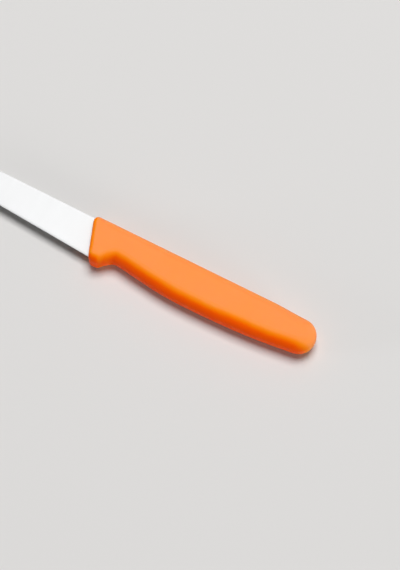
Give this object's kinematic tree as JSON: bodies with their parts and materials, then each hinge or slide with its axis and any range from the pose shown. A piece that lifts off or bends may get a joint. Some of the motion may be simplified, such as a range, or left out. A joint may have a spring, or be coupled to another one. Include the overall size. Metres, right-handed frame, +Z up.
{
  "type": "vegetable knife",
  "caption": "Small kitchen knife: a slim pointed steel blade, ground thin to a straight edge, in a one-piece moulded plastic handle with a finger guard and a rounded butt.",
  "frame": {"origin": "centre of the knife's box in length and width, on the face that the knife lies on", "axes": "+X from the blade's tip to the handle's butt, +Y from the cutting edge to the spine, +Z up through the blade's thickness, out of the surface that the knife lies on"},
  "size_m": [0.205, 0.0186, 0.0116],
  "materials": {
    "blade_steel": "fine satin grind, with a bright narrow bevel at the edge",
    "handle_plastic": "orange moulded plastic, satin, with a very fine surface texture"
  },
  "bodies": {
    "root": {"blade": "blade_steel", "handle": "handle_plastic"}
  },
  "joints": []
}
